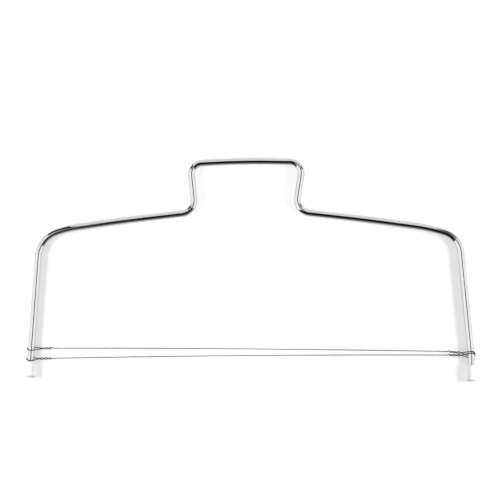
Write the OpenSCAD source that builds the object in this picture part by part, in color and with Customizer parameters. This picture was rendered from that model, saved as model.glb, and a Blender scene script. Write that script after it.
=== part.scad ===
// Two-wire cake leveler, lying flat on a table: X to the right, Y toward the handle, Z up.
// One bent steel rod makes the handle, the shoulders and the two legs. Two thin cutting wires run
// from leg to leg, each end looped round a leg and twisted on itself. A cap closes each leg tip.
// The origin is at the middle of the object's outline, on the table. All sizes are in millimetres.

/* [Rod] */
// Diameter of the bent rod
rod_d = 5.0; // [4.6:0.1:5.0]
// Distance between the middles of the two leg tips
tip_span = 318.2; // [317:0.1:322]
// Lean of the left leg, outward toward its upright end, in degrees
left_lean = 3.7; // [3.5:0.1:4.5]
// Lean of the right leg, outward toward its upright end, in degrees
right_lean = 5.1; // [4.5:0.1:5.5]
// How far the left leg's tip lies below the middle line
left_tip_y = 78.3; // [78:0.1:81]
// How far the right leg's tip lies below the middle line
right_tip_y = 81.0; // [80:0.1:82]
// Length of the upright end of the left leg
left_end_len = 11.6; // [11.5:0.1:11.8]
// Length of the upright end of the right leg
right_end_len = 16.8; // [11.5:0.1:16.9]
// Bend radius of the left corner
left_corner_r = 20; // [16:0.5:21]
// Bend radius of the right corner
right_corner_r = 17; // [14:0.5:19]

/* [Shoulders] */
// Height of the left corner's point above the middle line
left_corner_y = 22.6; // [22.3:0.1:23]
// Height of the right corner's point above the middle line
right_corner_y = 23.4; // [23:0.1:24]
// Distance of the left shoulder's outer bend from the middle, where it curves down to the corner
left_outer_x = 132.8; // [132:0.1:133]
// Height of the left shoulder's outer bend
left_outer_y = 29.4; // [29.2:0.1:29.6]
// Distance of the right shoulder's outer bend from the middle
right_outer_x = 128.4; // [127:0.1:129]
// Height of the right shoulder's outer bend
right_outer_y = 30.1; // [29.9:0.1:30.3]
// Distance of the left shoulder's slight inner bend from the middle
left_shoulder_x = 95.2; // [90:0.1:97]
// Height of the left shoulder's slight inner bend
left_shoulder_y = 35.0; // [34.6:0.1:35.3]
// Distance of the right shoulder's slight inner bend from the middle
right_shoulder_x = 80.8; // [76:0.1:84]
// Height of the right shoulder's slight inner bend
right_shoulder_y = 36.5; // [36.2:0.1:36.8]

/* [Handle] */
// Distance of the handle's left foot from the middle
left_foot_x = 40.3; // [39:0.1:42]
// Height of the handle's left foot
left_foot_y = 41.4; // [41:0.1:41.8]
// Distance of the handle's right foot from the middle
right_foot_x = 32.2; // [31:0.1:34]
// Height of the handle's right foot
right_foot_y = 41.9; // [41.5:0.1:42.3]
// Distance of the handle's upper left corner from the middle
left_grip_x = 44.2; // [43:0.1:46]
// Height of the handle's upper left corner
left_grip_y = 76.9; // [76.2:0.1:77.4]
// Distance of the handle's upper right corner from the middle
right_grip_x = 38.0; // [37:0.1:40]
// Height of the handle's upper right corner
right_grip_y = 78.3; // [77.9:0.1:78.5]
// Height of the highest point of the slightly bowed grip
grip_crown_y = 78.8; // [78.7:0.1:79]
// Bend radius at the handle's feet
foot_bend_r = 10; // [7:0.5:11]
// Bend radius at the handle's upper left corner
left_grip_r = 8; // [5:0.5:9]
// Bend radius at the handle's upper right corner
right_grip_r = 8.5; // [5:0.5:9.5]

/* [Caps] */
// Outer diameter of a leg cap
cap_d = 7.2; // [6.6:0.1:7.6]
// Length of a leg cap
cap_len = 11.2; // [8:0.1:11.3]
// Thickness of a cap's closed end
cap_end_t = 1.5; // [1:0.1:2]

/* [Wires] */
// Diameter of a cutting wire
wire_d = 0.65; // [0.5:0.05:0.65]
// Height of the upper wire on the left leg, below the middle line
upper_left_y = 57.5; // [55:0.1:57.6]
// Height of the upper wire on the right leg, below the middle line
upper_right_y = 61.2; // [60:0.1:61.2]
// Height of the lower wire on the left leg, below the middle line
lower_left_y = 64.9; // [64:0.1:64.9]
// Height of the lower wire on the right leg, below the middle line
lower_right_y = 62.4; // [62.4:0.1:62.5]
// Length of one full turn of the twist
twist_pitch = 6.5; // [6:0.1:6.5]

/* [Hidden] */

rod_sides = 48;
wire_sides = 24;

// The rod's middle plane stands as high as the caps are thick.
mid_z = cap_d / 2;

// A leg turns upright at its knee, so that the tool stands square on a board.
left_knee_y = left_tip_y - left_end_len;
right_knee_y = right_tip_y - right_end_len;
left_corner_x = tip_span / 2 - (left_knee_y + left_corner_y) * tan(left_lean);
right_corner_x = tip_span / 2 - (right_knee_y + right_corner_y) * tan(right_lean);
grip_crown_x = -6.6;
knee_r = 20;
left_outer_r = 70;
right_outer_r = 120;
shoulder_bow_r = 1200;
grip_bow_r = 600;

// Corners of the rod's middle line, and the bend radius at each, from the left tip to the right one.
rod_points = [
    [-tip_span / 2, -left_tip_y],
    [-tip_span / 2, -left_knee_y],
    [-left_corner_x, left_corner_y],
    [-left_outer_x, left_outer_y],
    [-left_shoulder_x, left_shoulder_y],
    [-left_foot_x, left_foot_y],
    [-left_grip_x, left_grip_y],
    [grip_crown_x, grip_crown_y],
    [right_grip_x, right_grip_y],
    [right_foot_x, right_foot_y],
    [right_shoulder_x, right_shoulder_y],
    [right_outer_x, right_outer_y],
    [right_corner_x, right_corner_y],
    [tip_span / 2, -right_knee_y],
    [tip_span / 2, -right_tip_y]
];
rod_radii = [0, knee_r, left_corner_r, left_outer_r, shoulder_bow_r, foot_bend_r, left_grip_r,
             grip_bow_r, right_grip_r, foot_bend_r, shoulder_bow_r, right_outer_r, right_corner_r,
             knee_r, 0];

// A bend is a hair thinner than the straight stretches, which reach a little way over its ends.
bend_d = rod_d - 0.04;
bend_cover = 0.2;

// Directions up the two legs, and across them toward the inside of the frame.
left_up = [sin(left_lean), cos(left_lean), 0];
left_in = [cos(left_lean), -sin(left_lean), 0];
right_up = [-sin(right_lean), cos(right_lean), 0];
right_in = [-cos(right_lean), -sin(right_lean), 0];

// A cap grips the rod with a hair of clearance, and the rod stops just short of the closed end.
cap_grip_gap = 0.02;
cap_edge_r = 1;
cap_lip = 0.2;
rod_end_gap = 0.1;
rod_end_cut = cap_end_t + rod_end_gap;

// Points where the wires cross the middle lines of the legs.
function on_left_leg(y) = [-tip_span / 2 + (left_knee_y + y) * tan(left_lean), y, mid_z];
function on_right_leg(y) = [tip_span / 2 - (right_knee_y + y) * tan(right_lean), y, mid_z];
upper_left = on_left_leg(-upper_left_y);
upper_right = on_right_leg(-upper_right_y);
lower_left = on_left_leg(-lower_left_y);
lower_right = on_right_leg(-lower_right_y);

// A loop clears the rod by loop_gap. In the twist the two strands lie twist_r off its middle line.
loop_gap = 0.05;
loop_r = (rod_d + wire_d) / 2 + loop_gap;
twist_r = 0.55;
rings_per_loop = 24;
rings_per_turn = 12;
eye_sides = 6;

// For each eye: distance from the leg to the start of its twist, turns in the twist, how far the
// loop's front leans up the leg from where it goes round the outside, and how far the twist rises.
upper_left_eye = [9.4, 0.75, -1.4, 0.3];
lower_left_eye = [6.4, 1.25, -1.4, 0.4];
upper_right_eye = [7.3, 1.25, 1.6, 1.65];
lower_right_eye = [7.5, 1.25, 1.6, 0.2];

// After the twist the long strand eases back to the twist's middle line, and its last stretch runs
// straight toward the other leg.
ease_len = 1.5;
tail_len = 0.5;

function unit(v) = v / norm(v);
z_up = [0, 0, 1];

// Direction of an eye from its leg, toward +X or -X, and the point where its twist ends.
function eye_len(eye) = eye[0] + eye[1] * twist_pitch + ease_len;
function eye_way(toward, eye) = unit([toward * eye_len(eye), eye[3], 0]);
function eye_end(start, toward, eye) = start + eye_way(toward, eye) * eye_len(eye);
upper_left_end = eye_end(upper_left, 1, upper_left_eye);
upper_right_end = eye_end(upper_right, -1, upper_right_eye);
lower_left_end = eye_end(lower_left, 1, lower_left_eye);
lower_right_end = eye_end(lower_right, -1, lower_right_eye);
upper_way = unit(upper_right_end - upper_left_end);
lower_way = unit(lower_right_end - lower_left_end);

// One wire end as a list of points: the cut end, the first strand of the twist, the loop round the
// leg from its front to its back, the second strand of the twist, and the way out along the wire.
function eye_points(start, along, out, up, inward, eye) =
    let (
        reach = eye[0],
        turns = eye[1],
        lean = eye[2],
        side = cross(z_up, along),
        steps = ceil(turns * rings_per_turn),
        twist_len = turns * twist_pitch,
        wrap = 180 - acos(loop_r / reach),
        loop_steps = ceil(2 * wrap / 360 * rings_per_loop),
        first = [for (i = [steps:-1:0])
            let (turn = 360 * turns * i / steps)
            start + along * (reach + twist_len * i / steps)
            + twist_r * (cos(turn) * z_up + sin(turn) * side)],
        loop = [for (i = [0:loop_steps])
            let (turn = wrap - 2 * wrap * i / loop_steps)
            start + loop_r * (sin(turn) * z_up - cos(turn) * inward) + lean * sin(turn) * up],
        second = [for (i = [0:steps])
            let (turn = 180 + 360 * turns * i / steps)
            start + along * (reach + twist_len * i / steps)
            + twist_r * (cos(turn) * z_up + sin(turn) * side)],
        ease_steps = 4,
        last_turn = 180 + 360 * turns,
        ease = [for (i = [1:ease_steps])
            let (part = i / ease_steps, turn = last_turn + 90 * part)
            start + along * (reach + twist_len + ease_len * part)
            + twist_r * (1 + cos(180 * part)) / 2 * (cos(turn) * z_up + sin(turn) * side)],
        tail = [start + along * eye_len(eye) + tail_len * out]
    )
    concat(first, loop, second, ease, tail);

// Directions along a list of points, and a cross direction carried along them without twisting.
function directions(points) =
    let (last = len(points) - 1)
    [for (i = [0:last]) unit(points[min(i + 1, last)] - points[max(i - 1, 0)])];
function square_to(v, direction) = unit(v - (v * direction) * direction);
function carried(aims, first) =
    [for (i = 0, v = square_to(first, aims[0]); i < len(aims);
          i = i + 1, v = i < len(aims) ? square_to(v, aims[i]) : v) v];

// Least gap between stretches of one wire end that are not neighbours along it.
function least_gap(points, skip) =
    min([for (i = [0:len(points) - skip - 1], j = [i + skip:len(points) - 1])
        norm(points[i] - points[j])]) - wire_d;

// A tube swept along a list of points.
module tube(points, d, sides) {
    aims = directions(points);
    across = carried(aims, [0.3, 0.5, 1]);
    count = len(points);
    ring_points = [for (i = [0:count - 1], k = [0:sides - 1])
        let (other = cross(aims[i], across[i]), turn = 360 * k / sides)
        points[i] + d / 2 * (cos(turn) * across[i] + sin(turn) * other)];
    wall = [for (i = [0:count - 2], k = [0:sides - 1])
        let (a = i * sides + k, b = i * sides + (k + 1) % sides)
        each [[a, a + sides, b], [b, a + sides, b + sides]]];
    start_face = [for (k = [1:sides - 2]) [0, k, k + 1]];
    last = (count - 1) * sides;
    end_face = [for (k = [1:sides - 2]) [last, last + k + 1, last + k]];
    polyhedron(ring_points, concat(start_face, wall, end_face));
}

// The bent rod: straight stretches, and bends between them.
function heading(i) =
    let (v = rod_points[i + 1] - rod_points[i])
    atan2(v[1], v[0]);
function turn_at(i) =
    is_tip(i) ? 0 : (heading(i) - heading(i - 1) + 540) % 360 - 180;
function cut_at(i) =
    is_tip(i) ? rod_end_cut : rod_radii[i] * tan(abs(turn_at(i)) / 2);
function flat_aim(angle) = [cos(angle), sin(angle)];
function is_tip(i) = i == 0 || i == len(rod_points) - 1;

module rod_straight(i) {
    from = cut_at(i) - (is_tip(i) ? 0 : bend_cover);
    to = cut_at(i + 1) - (is_tip(i + 1) ? 0 : bend_cover);
    start = rod_points[i] + from * flat_aim(heading(i));
    length = norm(rod_points[i + 1] - rod_points[i]) - from - to;
    translate([start[0], start[1], mid_z])
        rotate([0, 90, heading(i)])
        cylinder(h = length, d = rod_d, $fn = rod_sides);
}

module rod_bend(i) {
    way = sign(turn_at(i));
    start = rod_points[i] - cut_at(i) * flat_aim(heading(i - 1));
    middle = start + way * rod_radii[i] * flat_aim(heading(i - 1) + 90);
    from = way > 0 ? heading(i - 1) - 90 : heading(i) + 90;
    translate([middle[0], middle[1], mid_z])
        rotate([0, 0, from])
        rotate_extrude(angle = abs(turn_at(i)), $fn = 360)
        translate([rod_radii[i], 0])
        circle(d = bend_d, $fn = rod_sides);
}

module frame_rod() {
    color("silver")
    union() {
        for (i = [0:len(rod_points) - 2]) rod_straight(i);
        for (i = [1:len(rod_points) - 2]) rod_bend(i);
    }
}

// A cap stands on its closed end with the bore upward.
module cap() {
    bore_r = rod_d / 2 + cap_grip_gap;
    difference() {
        rotate_extrude($fn = rod_sides) {
            square([cap_d / 2 - cap_edge_r, cap_len]);
            translate([0, cap_edge_r])
                square([cap_d / 2, cap_len - cap_edge_r]);
            intersection() {
                translate([cap_d / 2 - cap_edge_r, cap_edge_r])
                    circle(r = cap_edge_r, $fn = rod_sides);
                square([cap_d / 2, cap_len]);
            }
        }
        translate([0, 0, cap_end_t])
            cylinder(h = cap_len, r = bore_r, $fn = rod_sides);
        translate([0, 0, cap_len - cap_lip])
            cylinder(h = cap_lip + 1, r1 = bore_r, r2 = bore_r + cap_lip + 1, $fn = rod_sides);
    }
}

module left_foot_cap() {
    color("whitesmoke")
        translate([-tip_span / 2, -left_tip_y, mid_z])
        rotate([-90, 0, 0])
        cap();
}

module right_foot_cap() {
    color("whitesmoke")
        translate([tip_span / 2, -right_tip_y, mid_z])
        rotate([-90, 0, 0])
        cap();
}

// The wire ends. The loops and twists are swept from formulas.
module wire_eye(start, toward, out, up, inward, eye) {
    points = eye_points(start, eye_way(toward, eye), out, up, inward, eye);
    echo(least_gap = least_gap(points, rings_per_turn));
    color("dimgray") tube(points, wire_d, eye_sides);
}

module upper_wire_left_eye() {
    wire_eye(upper_left, 1, upper_way, left_up, left_in, upper_left_eye);
}

module upper_wire_right_eye() {
    wire_eye(upper_right, -1, -upper_way, right_up, right_in, upper_right_eye);
}

module lower_wire_left_eye() {
    wire_eye(lower_left, 1, lower_way, left_up, left_in, lower_left_eye);
}

module lower_wire_right_eye() {
    wire_eye(lower_right, -1, -lower_way, right_up, right_in, lower_right_eye);
}

// The straight stretch between two wire ends.
module wire_strand(left_end, right_end) {
    way = unit(right_end - left_end);
    start = left_end + tail_len * way;
    color("gray")
        translate(start)
        rotate([0, 90, atan2(way[1], way[0])])
        cylinder(h = norm(right_end - left_end) - 2 * tail_len, d = wire_d, $fn = wire_sides);
}

module upper_wire_strand() {
    wire_strand(upper_left_end, upper_right_end);
}

module lower_wire_strand() {
    wire_strand(lower_left_end, lower_right_end);
}

frame_rod();
left_foot_cap();
right_foot_cap();
upper_wire_left_eye();
upper_wire_strand();
upper_wire_right_eye();
lower_wire_left_eye();
lower_wire_strand();
lower_wire_right_eye();
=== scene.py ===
# %% [markdown]
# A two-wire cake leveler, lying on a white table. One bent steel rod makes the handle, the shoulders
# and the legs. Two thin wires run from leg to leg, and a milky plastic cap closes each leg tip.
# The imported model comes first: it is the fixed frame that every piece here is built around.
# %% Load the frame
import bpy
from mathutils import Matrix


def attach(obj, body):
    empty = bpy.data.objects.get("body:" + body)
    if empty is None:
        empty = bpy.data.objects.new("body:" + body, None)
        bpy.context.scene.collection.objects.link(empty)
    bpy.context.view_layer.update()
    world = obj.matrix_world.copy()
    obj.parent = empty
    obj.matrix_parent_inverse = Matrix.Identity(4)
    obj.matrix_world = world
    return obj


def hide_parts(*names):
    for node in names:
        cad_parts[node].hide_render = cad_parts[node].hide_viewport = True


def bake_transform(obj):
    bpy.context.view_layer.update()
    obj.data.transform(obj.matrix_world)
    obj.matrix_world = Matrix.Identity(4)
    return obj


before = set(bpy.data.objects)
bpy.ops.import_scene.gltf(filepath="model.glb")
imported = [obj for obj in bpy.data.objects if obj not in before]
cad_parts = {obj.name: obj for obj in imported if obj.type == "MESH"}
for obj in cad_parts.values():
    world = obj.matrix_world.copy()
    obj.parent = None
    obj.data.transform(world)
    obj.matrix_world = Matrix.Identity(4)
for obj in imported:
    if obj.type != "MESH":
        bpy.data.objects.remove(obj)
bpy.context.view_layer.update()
print("nodes:", sorted(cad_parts))

import math
from collections import namedtuple

import bpy
from mathutils import Vector

MM = 0.001
Z_UP = Vector((0, 0, 1))

# %% [markdown]
# Operators act on whatever is selected, and loading leaves the frame's nodes selected. These helpers
# clear the selection, pick faces by the way they point, and leave a finished piece at the origin, so
# that a pattern on object coordinates stays where it is.
# %% Helpers for operators
def clear_selection():
    if bpy.context.object and bpy.context.object.mode != "OBJECT":
        bpy.ops.object.mode_set(mode="OBJECT")
    bpy.ops.object.select_all(action="DESELECT")


def choose(piece):
    clear_selection()
    piece.select_set(True)
    bpy.context.view_layer.objects.active = piece


def settle(piece, name):
    """Names a piece and moves its place into its mesh."""
    choose(piece)
    piece.name = name
    piece.data.name = name
    bpy.ops.object.transform_apply(location=True, rotation=True, scale=True)
    return piece


def select_faces(piece, test):
    """Goes into edit mode with the faces selected whose normal passes the test."""
    choose(piece)
    bpy.ops.object.mode_set(mode="EDIT")
    bpy.ops.mesh.select_mode(type="FACE")
    bpy.ops.mesh.select_all(action="DESELECT")
    bpy.ops.object.mode_set(mode="OBJECT")
    for face in piece.data.polygons:
        face.select = test(face.normal)
    bpy.ops.object.mode_set(mode="EDIT")


def close_and_smooth(piece, angle):
    """Merges doubles, closes open rims, turns faces outward and shades the piece smooth."""
    choose(piece)
    bpy.ops.object.mode_set(mode="EDIT")
    bpy.ops.mesh.select_all(action="SELECT")
    bpy.ops.mesh.remove_doubles(threshold=1e-7)
    bpy.ops.mesh.fill_holes(sides=0)
    bpy.ops.mesh.select_all(action="SELECT")
    bpy.ops.mesh.normals_make_consistent(inside=False)
    bpy.ops.object.mode_set(mode="OBJECT")
    bpy.ops.object.shade_smooth_by_angle(angle=math.radians(angle))


clear_selection()
print("selection is clear")

# %% [markdown]
# The rod is drawn wire stock, bent cold. It is fully described by the corners of its middle line and
# the bend radius at each corner, which is also how a workshop drawing would give it. The shoulders
# and the grip are not quite straight: they bow a little, which is a bend of a very large radius.
# %% The rod's corners
ROD_R = 2.5 * MM
CAP_R = 3.6 * MM
MID_Z = CAP_R
LEFT_LEAN = math.radians(3.7)
RIGHT_LEAN = math.radians(5.1)
LEFT_TIP = Vector((-159.1, -78.3, 0)) * MM
RIGHT_TIP = Vector((159.1, -81.0, 0)) * MM
LEFT_KNEE = Vector((-159.1, -66.7, 0)) * MM
RIGHT_KNEE = Vector((159.1, -64.2, 0)) * MM
LEFT_CORNER_Y = 22.6 * MM
RIGHT_CORNER_Y = 23.4 * MM
KNEE_R = 20 * MM
LEFT_CORNER_R = 20 * MM
RIGHT_CORNER_R = 17 * MM
LEFT_OUTER_R = 70 * MM
RIGHT_OUTER_R = 120 * MM
FOOT_BEND_R = 10 * MM
LEFT_GRIP_R = 8 * MM
RIGHT_GRIP_R = 8.5 * MM
SHOULDER_BOW_R = 1200 * MM
GRIP_BOW_R = 600 * MM

LEFT_UP = Vector((math.sin(LEFT_LEAN), math.cos(LEFT_LEAN), 0))
RIGHT_UP = Vector((-math.sin(RIGHT_LEAN), math.cos(RIGHT_LEAN), 0))


def on_left_leg(y):
    return LEFT_KNEE + LEFT_UP * (y - LEFT_KNEE.y) / LEFT_UP.y


def on_right_leg(y):
    return RIGHT_KNEE + RIGHT_UP * (y - RIGHT_KNEE.y) / RIGHT_UP.y


ROD_CORNERS = [
    (LEFT_TIP, 0),
    (LEFT_KNEE, KNEE_R),
    (on_left_leg(LEFT_CORNER_Y), LEFT_CORNER_R),
    (Vector((-132.8, 29.4, 0)) * MM, LEFT_OUTER_R),
    (Vector((-95.2, 35.0, 0)) * MM, SHOULDER_BOW_R),
    (Vector((-40.3, 41.4, 0)) * MM, FOOT_BEND_R),
    (Vector((-44.2, 76.9, 0)) * MM, LEFT_GRIP_R),
    (Vector((-6.6, 78.8, 0)) * MM, GRIP_BOW_R),
    (Vector((38.0, 78.3, 0)) * MM, RIGHT_GRIP_R),
    (Vector((32.2, 41.9, 0)) * MM, FOOT_BEND_R),
    (Vector((80.8, 36.5, 0)) * MM, SHOULDER_BOW_R),
    (Vector((128.4, 30.1, 0)) * MM, RIGHT_OUTER_R),
    (on_right_leg(RIGHT_CORNER_Y), RIGHT_CORNER_R),
    (RIGHT_KNEE, KNEE_R),
    (RIGHT_TIP, 0),
]
print("rod corners:", len(ROD_CORNERS))

# %% [markdown]
# A bend begins a little before its corner and ends as far behind it. How far depends on its radius
# and on how much the rod turns there. Each tip stops just short of its cap's closed end.
# %% Bends
END_CUT = 1.6 * MM


def turn_at(i):
    if i in (0, len(ROD_CORNERS) - 1):
        return 0.0
    before = ROD_CORNERS[i][0] - ROD_CORNERS[i - 1][0]
    after = ROD_CORNERS[i + 1][0] - ROD_CORNERS[i][0]
    return math.atan2(before.x * after.y - before.y * after.x, before.dot(after))


def cut_at(i):
    if i in (0, len(ROD_CORNERS) - 1):
        return END_CUT
    return ROD_CORNERS[i][1] * math.tan(abs(turn_at(i)) / 2)


def turned(v, angle):
    c, s = math.cos(angle), math.sin(angle)
    return Vector((c * v.x - s * v.y, s * v.x + c * v.y, v.z))


print("bends:", [round(math.degrees(turn_at(i))) for i in range(1, len(ROD_CORNERS) - 1)], "degrees")

# %% [markdown]
# A ring of edges is pulled along the straight stretches with Extrude and round the bends with Spin,
# as one would draw the rod by hand. The rod stays one unbroken tube, so reflections run along it
# without a seam. Its ends sit inside the caps and are filled flat. The station of each ring is noted
# on the way: its middle, its direction and its distance along the rod.
# %% Draw the rod
ROD_SIDES = 48
BEND_STEP = math.radians(3)
LEAST_BEND_STEPS = 6
LIFT = Vector((0, 0, MID_Z))


def draw_rod():
    aim = (ROD_CORNERS[1][0] - ROD_CORNERS[0][0]).normalized()
    middle = ROD_CORNERS[0][0] + aim * END_CUT + LIFT
    clear_selection()
    bpy.ops.mesh.primitive_circle_add(
        vertices=ROD_SIDES, radius=ROD_R, location=middle,
        rotation=(math.pi / 2, 0, math.atan2(aim.y, aim.x) + math.pi / 2))
    rod = bpy.context.object
    bpy.ops.object.transform_apply(location=True, rotation=True, scale=True)
    bpy.ops.object.mode_set(mode="EDIT")
    bpy.ops.mesh.select_mode(type="EDGE")
    bpy.ops.mesh.select_all(action="SELECT")
    stations = [(middle, aim, 0.0)]
    for i in range(len(ROD_CORNERS) - 1):
        aim = (ROD_CORNERS[i + 1][0] - ROD_CORNERS[i][0]).normalized()
        length = (ROD_CORNERS[i + 1][0] - ROD_CORNERS[i][0]).length - cut_at(i) - cut_at(i + 1)
        bpy.ops.mesh.extrude_edges_move(TRANSFORM_OT_translate={"value": aim * length})
        foot, _, travelled = stations[-1]
        foot = foot + aim * length
        travelled += length
        stations.append((foot, aim, travelled))
        turn = turn_at(i + 1)
        if not turn:
            continue
        steps = max(LEAST_BEND_STEPS, math.ceil(abs(turn) / BEND_STEP))
        side = Vector((-aim.y, aim.x, 0)) * math.copysign(1, turn)
        radius = ROD_CORNERS[i + 1][1]
        # Spin counts its angle the other way round from a turn to the left.
        bpy.ops.mesh.spin(steps=steps, angle=-turn, center=foot + side * radius, axis=(0, 0, 1))
        for k in range(1, steps + 1):
            part = turn * k / steps
            stations.append((foot + side * radius - turned(side, part) * radius,
                             turned(aim, part), travelled + radius * abs(part)))
    bpy.ops.object.mode_set(mode="OBJECT")
    close_and_smooth(rod, angle=40)
    return settle(rod, "bent_rod"), stations


rod, rod_stations = draw_rod()
print("rod:", len(rod.data.vertices), "points, length",
      round(rod_stations[-1][2] * 1000, 1), "mm")

# %% [markdown]
# Drawing leaves very fine lines along the stock, which bend with it. For the finish to follow them,
# each point keeps its place on the rod as it was before bending: the distance along it, and where it
# lay across it. A finish reads this attribute in place of object coordinates.
# %% Remember the straight rod
def keep_straight_place(piece, stations):
    place = piece.data.attributes.new("straight", "FLOAT_VECTOR", "POINT")
    for v, kept in zip(piece.data.vertices, place.data):
        middle, aim, travelled = min(stations, key=lambda s: (v.co - s[0]).length_squared)
        offset = v.co - middle
        kept.vector = (travelled + offset.dot(aim), offset.dot(Vector((-aim.y, aim.x, 0))), offset.z)


keep_straight_place(rod, rod_stations)
print("straight places kept for", len(rod.data.vertices), "points")

# %% [markdown]
# Each cap is a small moulded sleeve, closed at one end. It starts as a cylinder. Its closed end is
# rounded with Bevel, its open end is inset to the wall thickness, and the bore is pushed in with
# Extrude. It is shaped standing on its closed end and then laid along its leg. Each point keeps its
# place in the standing cap, so that painted shade can darken the closed end of either cap.
# %% Caps
CAP_LEN = 11.2 * MM
CAP_END_T = 1.5 * MM
CAP_EDGE_R = 1 * MM
BORE_R = 2.52 * MM
LIP_R = 0.2 * MM
LIP_RISE = 0.08 * MM
CAP_SIDES = 64


def make_cap(name, tip):
    clear_selection()
    bpy.ops.mesh.primitive_cylinder_add(
        vertices=CAP_SIDES, radius=CAP_R, depth=CAP_LEN, location=(0, 0, CAP_LEN / 2))
    cap = bpy.context.object
    bpy.ops.object.transform_apply(location=True, rotation=True, scale=True)
    select_faces(cap, lambda normal: normal.z < -0.9)
    bpy.ops.mesh.bevel(offset=CAP_EDGE_R, segments=6, affect="EDGES")
    select_faces(cap, lambda normal: normal.z > 0.9)
    bpy.ops.mesh.inset(thickness=LIP_R)
    bpy.ops.transform.translate(value=(0, 0, LIP_RISE))
    bpy.ops.mesh.inset(thickness=CAP_R - BORE_R - 1.5 * LIP_R)
    bpy.ops.mesh.inset(thickness=LIP_R / 2)
    bpy.ops.transform.translate(value=(0, 0, -LIP_RISE))
    bpy.ops.mesh.extrude_region_move(
        TRANSFORM_OT_translate={"value": (0, 0, CAP_END_T - CAP_LEN)})
    bpy.ops.object.mode_set(mode="OBJECT")
    standing = cap.data.attributes.new("standing", "FLOAT_VECTOR", "POINT")
    for v, kept in zip(cap.data.vertices, standing.data):
        kept.vector = v.co
    cap.rotation_euler = (-math.pi / 2, 0, 0)
    cap.location = tip + LIFT
    settle(cap, name)
    close_and_smooth(cap, angle=50)
    return cap


left_cap = make_cap("left_cap", LEFT_TIP)
right_cap = make_cap("right_cap", RIGHT_TIP)
print("caps:", len(left_cap.data.polygons), "faces each")

# %% [markdown]
# Each cutting wire is tied to both legs: at either end it goes once round the leg, and what is left
# over is twisted round the wire itself. Such an end is called an eye here, as on a rope. No two of the
# four are alike, so each has its own sizes. Reach is the distance from the leg to the twist, and turns
# are the twist's. Lean is how far the loop's front stands up the leg from where it goes round the
# outside. Rise is that of the twist.
# %% Sizes and places of the wires
WIRE_R = 0.325 * MM
TWIST_PITCH = 6.5 * MM
EASE_LEN = 1.5 * MM

Eye = namedtuple("Eye", "reach turns lean rise")
UPPER_LEFT_EYE = Eye(reach=9.4 * MM, turns=0.75, lean=-1.4 * MM, rise=0.3 * MM)
LOWER_LEFT_EYE = Eye(reach=6.4 * MM, turns=1.25, lean=-1.4 * MM, rise=0.4 * MM)
UPPER_RIGHT_EYE = Eye(reach=7.3 * MM, turns=1.25, lean=1.6 * MM, rise=1.65 * MM)
LOWER_RIGHT_EYE = Eye(reach=7.5 * MM, turns=1.25, lean=1.6 * MM, rise=0.2 * MM)

upper_left = on_left_leg(-57.5 * MM) + LIFT
upper_right = on_right_leg(-61.2 * MM) + LIFT
lower_left = on_left_leg(-64.9 * MM) + LIFT
lower_right = on_right_leg(-62.4 * MM) + LIFT


def length_of(eye):
    return eye.reach + eye.turns * TWIST_PITCH + EASE_LEN


def way_of(toward, eye):
    return Vector((toward * length_of(eye), eye.rise, 0)).normalized()


def end_of(start, toward, eye):
    return start + way_of(toward, eye) * length_of(eye)


upper_left_end_at = end_of(upper_left, 1, UPPER_LEFT_EYE)
upper_right_end_at = end_of(upper_right, -1, UPPER_RIGHT_EYE)
lower_left_end_at = end_of(lower_left, 1, LOWER_LEFT_EYE)
lower_right_end_at = end_of(lower_right, -1, LOWER_RIGHT_EYE)
UPPER_WAY = (upper_right_end_at - upper_left_end_at).normalized()
LOWER_WAY = (lower_right_end_at - lower_left_end_at).normalized()
print("wires:", round(2 * WIRE_R / MM, 2), "mm thick, between the twisted ends",
      round((upper_right_end_at - upper_left_end_at).length / MM, 1), "and",
      round((lower_right_end_at - lower_left_end_at).length / MM, 1), "mm")

# %% [markdown]
# A wire is a curve with a round profile, turned into a mesh. The curve takes its path point by point,
# keeps the profile from turning along it and closes the cut ends. The rod lies in one plane, so a ring
# of edges could be spun along it. A wire's path winds in space, where that would be far more work.
# %% A wire along a path
WIRE_SMOOTHNESS = 2


def tube_along(points, name):
    """A round wire through the points, as a closed mesh."""
    curve = bpy.data.curves.new(name, "CURVE")
    curve.dimensions = "3D"
    curve.bevel_depth = WIRE_R
    curve.bevel_resolution = WIRE_SMOOTHNESS
    curve.use_fill_caps = True
    line = curve.splines.new("POLY")
    line.points.add(len(points) - 1)
    for place, point in zip(line.points, points):
        place.co = (*point, 1)
    wire = bpy.data.objects.new(name, curve)
    bpy.context.collection.objects.link(wire)
    choose(wire)
    bpy.ops.object.convert(target="MESH")
    wire = bpy.context.object
    settle(wire, name)
    close_and_smooth(wire, angle=60)
    return wire


print("wire profile:", 4 + 2 * WIRE_SMOOTHNESS, "sides")

# %% [markdown]
# The path of a wire end is written as a formula, because no modelling operator winds two strands
# round each other: a helix out to the cut end, the loop round the leg from front to back, and a second
# helix that eases into the long strand. The left and the right ends run in opposite directions, so
# the function is told which way is toward the other leg.
# %% Wire ends
LOOP_R = ROD_R + WIRE_R + 0.05 * MM
TWIST_R = 0.55 * MM
TAIL_LEN = 0.5 * MM
STEPS_PER_TURN = 24
LOOP_STEPS = 3 * STEPS_PER_TURN
EASE_STEPS = 6


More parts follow.
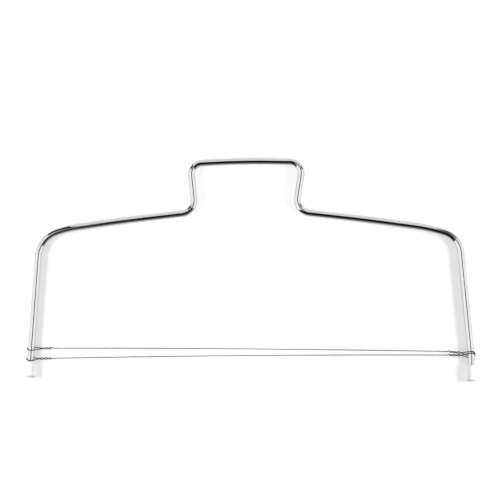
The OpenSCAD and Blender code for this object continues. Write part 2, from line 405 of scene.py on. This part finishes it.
def wire_end(name, start, toward, out, up, eye):
    reach, turns, lean, _ = eye
    along = way_of(toward, eye)
    inward = up.cross(Z_UP) * toward
    side = Z_UP.cross(along)
    twist_len = turns * TWIST_PITCH

    def helix(part, phase):
        turn = phase + math.tau * turns * part
        return (start + along * (reach + twist_len * part)
                + (Z_UP * math.cos(turn) + side * math.sin(turn)) * TWIST_R)

    steps = math.ceil(turns * STEPS_PER_TURN)
    first = [helix(1 - k / steps, 0) for k in range(steps + 1)]
    wrap = math.pi - math.acos(LOOP_R / reach)
    loop = []
    for k in range(LOOP_STEPS + 1):
        turn = wrap - 2 * wrap * k / LOOP_STEPS
        loop.append(start + (Z_UP * math.sin(turn) - inward * math.cos(turn)) * LOOP_R
                    + up * lean * math.sin(turn))
    second = [helix(k / steps, math.pi) for k in range(steps + 1)]
    ease = []
    for k in range(1, EASE_STEPS + 1):
        part = k / EASE_STEPS
        turn = math.pi + math.tau * turns + part * math.pi / 2
        fade = (1 + math.cos(math.pi * part)) / 2
        ease.append(start + along * (reach + twist_len + EASE_LEN * part)
                    + (Z_UP * math.cos(turn) + side * math.sin(turn)) * TWIST_R * fade)
    tail = [start + along * length_of(eye) + out * TAIL_LEN]
    return tube_along(first + loop + second + ease + tail, name)


upper_left_end = wire_end(
    "upper_wire_left_end_loop", upper_left, 1, UPPER_WAY, LEFT_UP, UPPER_LEFT_EYE)
lower_left_end = wire_end(
    "lower_wire_left_end_loop", lower_left, 1, LOWER_WAY, LEFT_UP, LOWER_LEFT_EYE)
upper_right_end = wire_end(
    "upper_wire_right_end_loop", upper_right, -1, -UPPER_WAY, RIGHT_UP, UPPER_RIGHT_EYE)
lower_right_end = wire_end(
    "lower_wire_right_end_loop", lower_right, -1, -LOWER_WAY, RIGHT_UP, LOWER_RIGHT_EYE)
print("wire end:", len(upper_left_end.data.polygons), "faces")

# %% [markdown]
# Between its ends each wire is taut, with a bow of under a millimetre that the photograph shows.
# The strands shorten as their ends climb the splayed legs. The upper wire's middle moves apart from
# both its ends, so it is made in two halves that meet there.
# %% Straight wires
UPPER_BOW = 0.65 * MM
LOWER_BOW = 0.85 * MM
STRAND_STEPS = 24


def strand(name, left_end, right_end, bow, part_from=0.0, part_to=1.0):
    along = (right_end - left_end).normalized()
    start = left_end + along * TAIL_LEN
    end = right_end - along * TAIL_LEN
    side = Z_UP.cross(along)
    points = []
    for k in range(STRAND_STEPS + 1):
        part = part_from + (part_to - part_from) * k / STRAND_STEPS
        points.append(start.lerp(end, part) + side * bow * 4 * part * (1 - part))
    return tube_along(points, name), points[0], points[-1]


lower_strand, lower_from, lower_to = strand(
    "lower_wire_length", lower_left_end_at, lower_right_end_at, LOWER_BOW)
upper_half_a, upper_from, upper_mid = strand(
    "upper_wire_left_half", upper_left_end_at, upper_right_end_at, UPPER_BOW, 0, 0.5)
upper_half_b, _, upper_to = strand(
    "upper_wire_right_half", upper_left_end_at, upper_right_end_at, UPPER_BOW, 0.5, 1)
print("strands:", round((lower_to - lower_from).length * 1000, 1), "and",
      round((upper_to - upper_from).length * 1000, 1), "mm")

# %% [markdown]
# Every piece stands for its solid, which is hidden. The rod, the caps and the wire ends move with
# their bodies; the strands are fixed where they lie.
# %% Tie the pieces to the frame
def tie(piece, body, slot, *nodes):
    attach(piece, body)
    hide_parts(*nodes)


tie(rod, "frame", "rod", "frame_rod")
tie(left_cap, "frame", "cap", "left_foot_cap")
tie(right_cap, "frame", "cap", "right_foot_cap")
tie(upper_left_end, "upper_wire_left_end", "wire", "upper_wire_left_eye")
tie(upper_right_end, "upper_wire_right_end", "wire", "upper_wire_right_eye")
tie(lower_left_end, "lower_wire_left_end", "wire", "lower_wire_left_eye")
tie(lower_right_end, "lower_wire_right_end", "wire", "lower_wire_right_eye")


def tie_between(piece, node):
    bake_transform(piece)
    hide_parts(node)


tie_between(lower_strand,
            "lower_wire_strand")
tie_between(upper_half_a,
            "upper_wire_strand")
tie_between(upper_half_b,
            "upper_wire_strand")

# %% [markdown]
# An effect that several materials share is a node group: it is built once, and placed in each
# material with its own values. This helper makes an empty group with named inputs and outputs.
# %% Helper for shared effects
def new_group(name, inputs, outputs):
    group = bpy.data.node_groups.new(name, "ShaderNodeTree")
    for title, kind, value in inputs:
        socket = group.interface.new_socket(title, in_out="INPUT", socket_type=kind)
        if value is not None:
            socket.default_value = value
    for title, kind in outputs:
        group.interface.new_socket(title, in_out="OUTPUT", socket_type=kind)
    nodes = group.nodes
    return group, nodes.new("NodeGroupInput"), nodes.new("NodeGroupOutput")


print("groups so far:", len(bpy.data.node_groups))

# %% [markdown]
# Rod and wire are pulled through a die, which leaves very fine lines along them. They are noise that
# changes slowly along the metal and fast across it, because the place along it is scaled down.
# %% Draw lines
def draw_lines_group():
    group, given, result = new_group(
        "draw_lines", [("Vector", "NodeSocketVector", None), ("Lines", "NodeSocketFloat", 9000.0),
                       ("Stretch", "NodeSocketFloat", 0.01)], [("Value", "NodeSocketFloat")])
    nodes, links = group.nodes, group.links
    split = nodes.new("ShaderNodeSeparateXYZ")
    shorten = nodes.new("ShaderNodeMath")
    shorten.operation = "MULTIPLY"
    join = nodes.new("ShaderNodeCombineXYZ")
    noise = nodes.new("ShaderNodeTexNoise")
    noise.inputs["Detail"].default_value = 3
    links.new(given.outputs["Vector"], split.inputs[0])
    links.new(split.outputs["X"], shorten.inputs[0])
    links.new(given.outputs["Stretch"], shorten.inputs[1])
    links.new(shorten.outputs[0], join.inputs["X"])
    links.new(split.outputs["Y"], join.inputs["Y"])
    links.new(split.outputs["Z"], join.inputs["Z"])
    links.new(join.outputs[0], noise.inputs["Vector"])
    links.new(given.outputs["Lines"], noise.inputs["Scale"])
    links.new(noise.outputs["Fac"], result.inputs["Value"])
    return group


draw_lines = draw_lines_group()
print("group:", draw_lines.name, "with", len(draw_lines.nodes), "nodes")

# %% [markdown]
# Handling and washing leave a soft, blotchy change of gloss on metal and plastic alike. Noise gives
# the blotches, and Map Range spreads them from the smoothest to the roughest place of a material.
# %% Fine wear
def fine_wear_group():
    group, given, result = new_group(
        "fine_wear", [("Vector", "NodeSocketVector", None), ("Low", "NodeSocketFloat", 0.1),
                      ("High", "NodeSocketFloat", 0.2)], [("Value", "NodeSocketFloat")])
    nodes, links = group.nodes, group.links
    noise = nodes.new("ShaderNodeTexNoise")
    noise.inputs["Scale"].default_value = 180
    noise.inputs["Detail"].default_value = 6
    spread = nodes.new("ShaderNodeMapRange")
    spread.inputs["From Min"].default_value = 0.3
    spread.inputs["From Max"].default_value = 0.7
    links.new(given.outputs["Vector"], noise.inputs["Vector"])
    links.new(noise.outputs["Fac"], spread.inputs["Value"])
    links.new(given.outputs["Low"], spread.inputs["To Min"])
    links.new(given.outputs["High"], spread.inputs["To Max"])
    links.new(spread.outputs[0], result.inputs["Value"])
    return group


fine_wear = fine_wear_group()
print("group:", fine_wear.name, "with", len(fine_wear.nodes), "nodes")

# %% [markdown]
# Each material is a Principled BSDF with nodes that feed it. These helpers make a new one, place a
# shared effect in it, read a place that a piece's points keep, and give a finished one to a piece.
# %% Helpers for materials
def new_material(name):
    material = bpy.data.materials.new(name)
    material.use_nodes = True
    nodes, links = material.node_tree.nodes, material.node_tree.links
    return material, nodes, links, nodes["Principled BSDF"]


def add_group(nodes, group, **values):
    node = nodes.new("ShaderNodeGroup")
    node.node_tree = group
    for title, value in values.items():
        node.inputs[title].default_value = value
    return node


def kept_place(nodes, name):
    """The place that a piece's points keep in one of its attributes."""
    node = nodes.new("ShaderNodeAttribute")
    node.attribute_name = name
    return node.outputs["Vector"]


def paint(piece, material):
    piece.data.materials.clear()
    piece.data.materials.append(material)


print("materials so far:", len(bpy.data.materials))

# %% [markdown]
# The rod is polished stainless steel: nearly a mirror, with the faintest draw lines. The wires are
# duller steel. Their twisted ends are painted almost black: painted shade for strands that shade each
# other. The three differ in their grey, their gloss and what the lines follow, so one function makes
# them all.
# %% Steel
LINE_DEPTH = 0.01 * MM


def steel(name, grey, smoothest, roughest, follows_rod=False):
    material, nodes, links, shader = new_material(name)
    shader.inputs["Base Color"].default_value = (grey, grey, grey, 1)
    shader.inputs["Metallic"].default_value = 1
    if follows_rod:
        where = kept_place(nodes, "straight")
    else:
        where = nodes.new("ShaderNodeTexCoord").outputs["Object"]
    wear = add_group(nodes, fine_wear, Low=smoothest, High=roughest)
    lines = add_group(nodes, draw_lines)
    bump = nodes.new("ShaderNodeBump")
    bump.inputs["Distance"].default_value = LINE_DEPTH
    bump.inputs["Strength"].default_value = 0.3
    links.new(where, wear.inputs["Vector"])
    links.new(where, lines.inputs["Vector"])
    links.new(wear.outputs["Value"], shader.inputs["Roughness"])
    links.new(lines.outputs["Value"], bump.inputs["Height"])
    links.new(bump.outputs["Normal"], shader.inputs["Normal"])
    return material


rod_steel = steel("polished_steel", grey=0.56, smoothest=0.04, roughest=0.08, follows_rod=True)
wire_steel = steel("wire_steel", grey=0.2, smoothest=0.22, roughest=0.34)
# The near-black grey of the twisted ends is painted shade between the strands.
twisted_steel_painted_shade = steel("twisted_steel_painted_shade", grey=0.03, smoothest=0.3, roughest=0.42)
paint(rod, rod_steel)
for wire in (lower_strand, upper_half_a, upper_half_b):
    paint(wire, wire_steel)
for wire in (upper_left_end, upper_right_end, lower_left_end, lower_right_end):
    paint(wire, twisted_steel_painted_shade)
print("steels:", [m.name for m in (rod_steel, wire_steel, twisted_steel_painted_shade)])

# %% [markdown]
# The caps are milky plastic. Light enters it and comes out a little further on, which is subsurface
# scattering. Its colour is darker toward the closed end: painted shade, where the rounded end turns
# away from the light. Noise adds faint clouds to its colour, and a fine grain to its surface takes the
# mirror shine away.
# %% Milky plastic
GRAIN_DEPTH = 0.02 * MM
# Painted shade: the caps' colour is darkest below the first height and plain above the second.
CLOSED_END_PAINTED_SHADE = 0.6
PAINTED_SHADE_FULL_TO = 0.4 * CAP_END_T
PAINTED_SHADE_GONE_FROM = 1.2 * CAP_END_T


def milky_plastic():
    material, nodes, links, shader = new_material("milky_plastic")
    shader.inputs["Subsurface Weight"].default_value = 0.7
    shader.inputs["Subsurface Radius"].default_value = (1, 1, 1)
    shader.inputs["Subsurface Scale"].default_value = 3 * MM
    shader.inputs["IOR"].default_value = 1.5
    where = nodes.new("ShaderNodeTexCoord").outputs["Object"]
    split = nodes.new("ShaderNodeSeparateXYZ")
    # Painted shade: this darkens the colour toward the closed end, by height in the standing cap.
    thickness = nodes.new("ShaderNodeMapRange")
    thickness.inputs["From Min"].default_value = PAINTED_SHADE_FULL_TO
    thickness.inputs["From Max"].default_value = PAINTED_SHADE_GONE_FROM
    thickness.inputs["To Min"].default_value = CLOSED_END_PAINTED_SHADE
    thickness.inputs["To Max"].default_value = 1
    shade = nodes.new("ShaderNodeVectorMath")
    shade.operation = "SCALE"
    clouds = nodes.new("ShaderNodeTexNoise")
    clouds.inputs["Scale"].default_value = 420
    clouds.inputs["Detail"].default_value = 4
    tint = nodes.new("ShaderNodeValToRGB")
    tint.color_ramp.elements[0].position = 0.3
    tint.color_ramp.elements[0].color = (0.76, 0.76, 0.75, 1)
    tint.color_ramp.elements[1].position = 0.7
    tint.color_ramp.elements[1].color = (0.81, 0.81, 0.8, 1)
    wear = add_group(nodes, fine_wear, Low=0.32, High=0.45)
    grain = nodes.new("ShaderNodeTexNoise")
    grain.inputs["Scale"].default_value = 5000
    bump = nodes.new("ShaderNodeBump")
    bump.inputs["Distance"].default_value = GRAIN_DEPTH
    bump.inputs["Strength"].default_value = 0.4
    links.new(where, clouds.inputs["Vector"])
    links.new(clouds.outputs["Fac"], tint.inputs["Fac"])
    links.new(kept_place(nodes, "standing"), split.inputs[0])
    links.new(split.outputs["Z"], thickness.inputs["Value"])
    links.new(tint.outputs["Color"], shade.inputs[0])
    links.new(thickness.outputs[0], shade.inputs["Scale"])
    links.new(shade.outputs[0], shader.inputs["Base Color"])
    links.new(where, wear.inputs["Vector"])
    links.new(wear.outputs["Value"], shader.inputs["Roughness"])
    links.new(where, grain.inputs["Vector"])
    links.new(grain.outputs["Fac"], bump.inputs["Height"])
    links.new(bump.outputs["Normal"], shader.inputs["Normal"])
    return material


cap_plastic = milky_plastic()
paint(left_cap, cap_plastic)
paint(right_cap, cap_plastic)
print("plastic:", cap_plastic.name)

# %% [markdown]
# The photograph is a studio shot on bright white. The floor is plain and pale, and glows a little, so
# that only close shadows show on it. Round the legs it glows less, because their shadows are the ones
# that show in the photograph. Both legs get the same zone, so the place is folded over the middle.
# %% Floor
FLOOR_GLOW = 0.58
LEG_GLOW = 0.45
LEG_ZONE = Vector((0.135, -0.035, 0))
LEG_ZONE_R = 0.06


def glowing_white():
    material, nodes, links, shader = new_material("floor_white")
    shader.inputs["Base Color"].default_value = (0.5, 0.5, 0.5, 1)
    shader.inputs["Roughness"].default_value = 0.6
    shader.inputs["Emission Strength"].default_value = FLOOR_GLOW
    where = nodes.new("ShaderNodeTexCoord").outputs["Object"]
    split = nodes.new("ShaderNodeSeparateXYZ")
    sideways = nodes.new("ShaderNodeMath")
    sideways.operation = "ABSOLUTE"
    folded = nodes.new("ShaderNodeCombineXYZ")
    from_leg = nodes.new("ShaderNodeVectorMath")
    from_leg.operation = "DISTANCE"
    from_leg.inputs[1].default_value = LEG_ZONE
    glow = nodes.new("ShaderNodeMapRange")
    glow.interpolation_type = "SMOOTHSTEP"
    glow.inputs["From Min"].default_value = LEG_ZONE_R
    glow.inputs["From Max"].default_value = 2 * LEG_ZONE_R
    glow.inputs["To Min"].default_value = LEG_GLOW / FLOOR_GLOW
    glow.inputs["To Max"].default_value = 1
    links.new(where, split.inputs[0])
    links.new(split.outputs["X"], sideways.inputs[0])
    links.new(sideways.outputs[0], folded.inputs["X"])
    links.new(split.outputs["Y"], folded.inputs["Y"])
    links.new(folded.outputs[0], from_leg.inputs[0])
    links.new(from_leg.outputs["Value"], glow.inputs["Value"])
    links.new(glow.outputs[0], shader.inputs["Emission Color"])
    return material


clear_selection()
bpy.ops.mesh.primitive_plane_add(size=6, location=(0, 0, 0))
floor = settle(bpy.context.object, "floor")
paint(floor, glowing_white())
print("floor:", floor.name)

# %% [markdown]
# What the rod mirrors is a light tent. It is far away, so it is a world background: brightness by
# direction alone. Each edge of an opening is a plane through the object, and a direction's dot product
# with the plane's normal says on which side of the edge it lies. These helpers add the nodes.
# %% Helpers for the light tent
world = bpy.data.worlds.new("light_tent")
world.use_nodes = True
tent, tent_links = world.node_tree.nodes, world.node_tree.links
direction = tent.new("ShaderNodeTexCoord").outputs["Generated"]


def beyond_plane(normal):
    """How far a direction lies on the plane's side that the normal points to."""
    dot = tent.new("ShaderNodeVectorMath")
    dot.operation = "DOT_PRODUCT"
    dot.inputs[1].default_value = normal
    tent_links.new(direction, dot.inputs[0])
    return dot.outputs["Value"]


def joined(operation, a, b):
    node = tent.new("ShaderNodeMath")
    node.operation = operation
    tent_links.new(a, node.inputs[0])
    tent_links.new(b, node.inputs[1])
    return node.outputs[0]


def graded(value, start, end, low, high):
    """Goes smoothly from low to high while the value goes from start to end."""
    node = tent.new("ShaderNodeMapRange")
    node.interpolation_type = "SMOOTHSTEP"
    node.inputs["From Min"].default_value = start
    node.inputs["From Max"].default_value = end
    for title, given in (("To Min", low), ("To Max", high)):
        if isinstance(given, (int, float)):
            node.inputs[title].default_value = given
        else:
            tent_links.new(given, node.inputs[title])
    tent_links.new(value, node.inputs["Value"])
    return node.outputs[0]


def upright_edge(from_front, side):
    """The normal of an upright plane through the object, at an angle from the front."""
    angle = math.radians(from_front)
    return (-side * math.cos(angle), -math.sin(angle), 0)


def edge_through(a, b):
    """The normal of the plane through two directions, which are given one unit up."""
    return tuple(Vector((*a, 1)).cross(Vector((*b, 1))).normalized())


print("tent nodes so far:", len(tent))

# %% [markdown]
# The tent is white cloth on both sides and behind, with a dark opening overhead that widens toward
# the front, where the camera looks in, and a grey foot below it. Long mirrors show this as a white
# band with a dark line. Smaller and larger values join the edges into one opening. Only reflections
# show the tent: the world's light on matt things is even, and the camera sees it white.
# %% Light tent
SIDE_WHITE = 1.5
BACK_WHITE = 1.15
OPENING_DARK = 0.01
FOOT_GREY = 0.26
AMBIENT = 0.43
SEEN_WHITE = 0.9
EDGE_SOFTNESS = 0.03
CLOTH_GRADING = (0.1, 0.6)
FOOT_EDGE = Vector((-0.71, 0.9, 1)).normalized()
FOOT_SOFTNESS = 0.08

# Each edge passes over two directions, given one unit up. The front corners stand at these angles.
LEFT_EDGE = (-0.2, 0.4), (-0.07, 0)
RIGHT_EDGE = (0.4, 0), (0.3, 0.4)
REAR_EDGE = (1, 0.42), (-1, 0.42)
LEFT_CORNER_ANGLE = 52
RIGHT_CORNER_ANGLE = 64

backward = beyond_plane((0, 1, 0))
left_side = joined("MAXIMUM", beyond_plane(edge_through(*LEFT_EDGE)),
                   beyond_plane(upright_edge(LEFT_CORNER_ANGLE, -1)))
right_side = joined("MAXIMUM", beyond_plane(edge_through(*RIGHT_EDGE)),
                    beyond_plane(upright_edge(RIGHT_CORNER_ANGLE, 1)))
rear = beyond_plane(edge_through(*REAR_EDGE))
inside = joined("MINIMUM", joined("MINIMUM", left_side, right_side), rear)
cloth = graded(backward, *CLOTH_GRADING, SIDE_WHITE, BACK_WHITE)
opening = graded(beyond_plane(FOOT_EDGE), -FOOT_SOFTNESS, FOOT_SOFTNESS, FOOT_GREY, OPENING_DARK)
tent_light = graded(inside, -EDGE_SOFTNESS, EDGE_SOFTNESS, cloth, opening)
ray = tent.new("ShaderNodeLightPath").outputs
tent_light = graded(ray["Is Glossy Ray"], 0, 1, AMBIENT, tent_light)
tent_light = graded(ray["Is Camera Ray"], 0, 1, tent_light, SEEN_WHITE)
tent_links.new(tent_light, tent["Background"].inputs["Strength"])
tent["Background"].inputs["Color"].default_value = (1, 1, 1, 1)
bpy.context.scene.world = world
bpy.context.scene.view_settings.view_transform = "Standard"
print("tent nodes:", len(tent))

# %% [markdown]
# A softbox stands close on each side, so that each leg throws its shadow inward. Seen from its leg,
# the right one stands lower, so its shadow falls further away. No reflection shows them.
# %% Softboxes
def softbox(name, at, size, power):
    """A large area light that faces the object."""
    light = bpy.data.lights.new(name, "AREA")
    light.shape = "RECTANGLE"
    light.size, light.size_y = size
    light.energy = power
    lamp = bpy.data.objects.new(name, light)
    lamp.location = at
    lamp.rotation_euler = (-Vector(at)).to_track_quat("-Z", "Y").to_euler()
    bpy.context.collection.objects.link(lamp)
    lamp.visible_camera = False
    lamp.visible_glossy = False


softbox("left_softbox", at=(-0.42, -0.02, 0.24), size=(0.3, 0.14), power=1.9)
softbox("right_softbox", at=(0.52, -0.02, 0.26), size=(0.3, 0.12), power=3.0)

# %% [markdown]
# Behind the rod, to the left and to the right, stands a black card. The camera doesn't see it and it
# throws no shadow, but it draws the short dark accents on the outside of each bend.
# %% Black cards
card_black, _, _, card_shader = new_material("card_black")
card_shader.inputs["Base Color"].default_value = (0.01, 0.01, 0.01, 1)
card_shader.inputs["Roughness"].default_value = 1


def black_card(name, left, right, y, bottom, top):
    clear_selection()
    bpy.ops.mesh.primitive_plane_add(
        size=1, location=((left + right) / 2, y, (bottom + top) / 2), rotation=(math.pi / 2, 0, 0))
    card = bpy.context.object
    card.scale = (right - left, top - bottom, 1)
    settle(card, name)
    paint(card, card_black)
    card.visible_camera = False
    card.visible_diffuse = False
    card.visible_shadow = False


black_card("left_card", left=-0.32, right=-0.19, y=0.24, bottom=0.001, top=0.48)
black_card("right_card", left=0.2, right=0.35, y=0.205, bottom=0.05, top=0.34)
print("two cards stand behind the rod")

# %% [markdown]
# The camera looks almost straight down, as in the photograph. It aims at a point between the handle
# and the wires, a little above the middle of the outline, because the photograph is framed so.
# %% Camera
ELEVATION = math.radians(85)
CAMERA_DISTANCE = 1.5
TARGET = Vector((-0.64, 13.95, 3.6)) * MM
FOCAL_PIXELS = 2069
PHOTO_WIDTH = 500
SENSOR = 36

camera_data = bpy.data.cameras.new("camera")
camera_data.sensor_width = SENSOR
camera_data.lens = FOCAL_PIXELS / PHOTO_WIDTH * SENSOR
camera = bpy.data.objects.new("camera", camera_data)
camera.location = TARGET + Vector((0, -math.cos(ELEVATION), math.sin(ELEVATION))) * CAMERA_DISTANCE
camera.rotation_euler = (math.pi / 2 - ELEVATION, 0, 0)
bpy.context.collection.objects.link(camera)
bpy.context.scene.camera = camera
print("lens", round(camera_data.lens, 1), "mm")
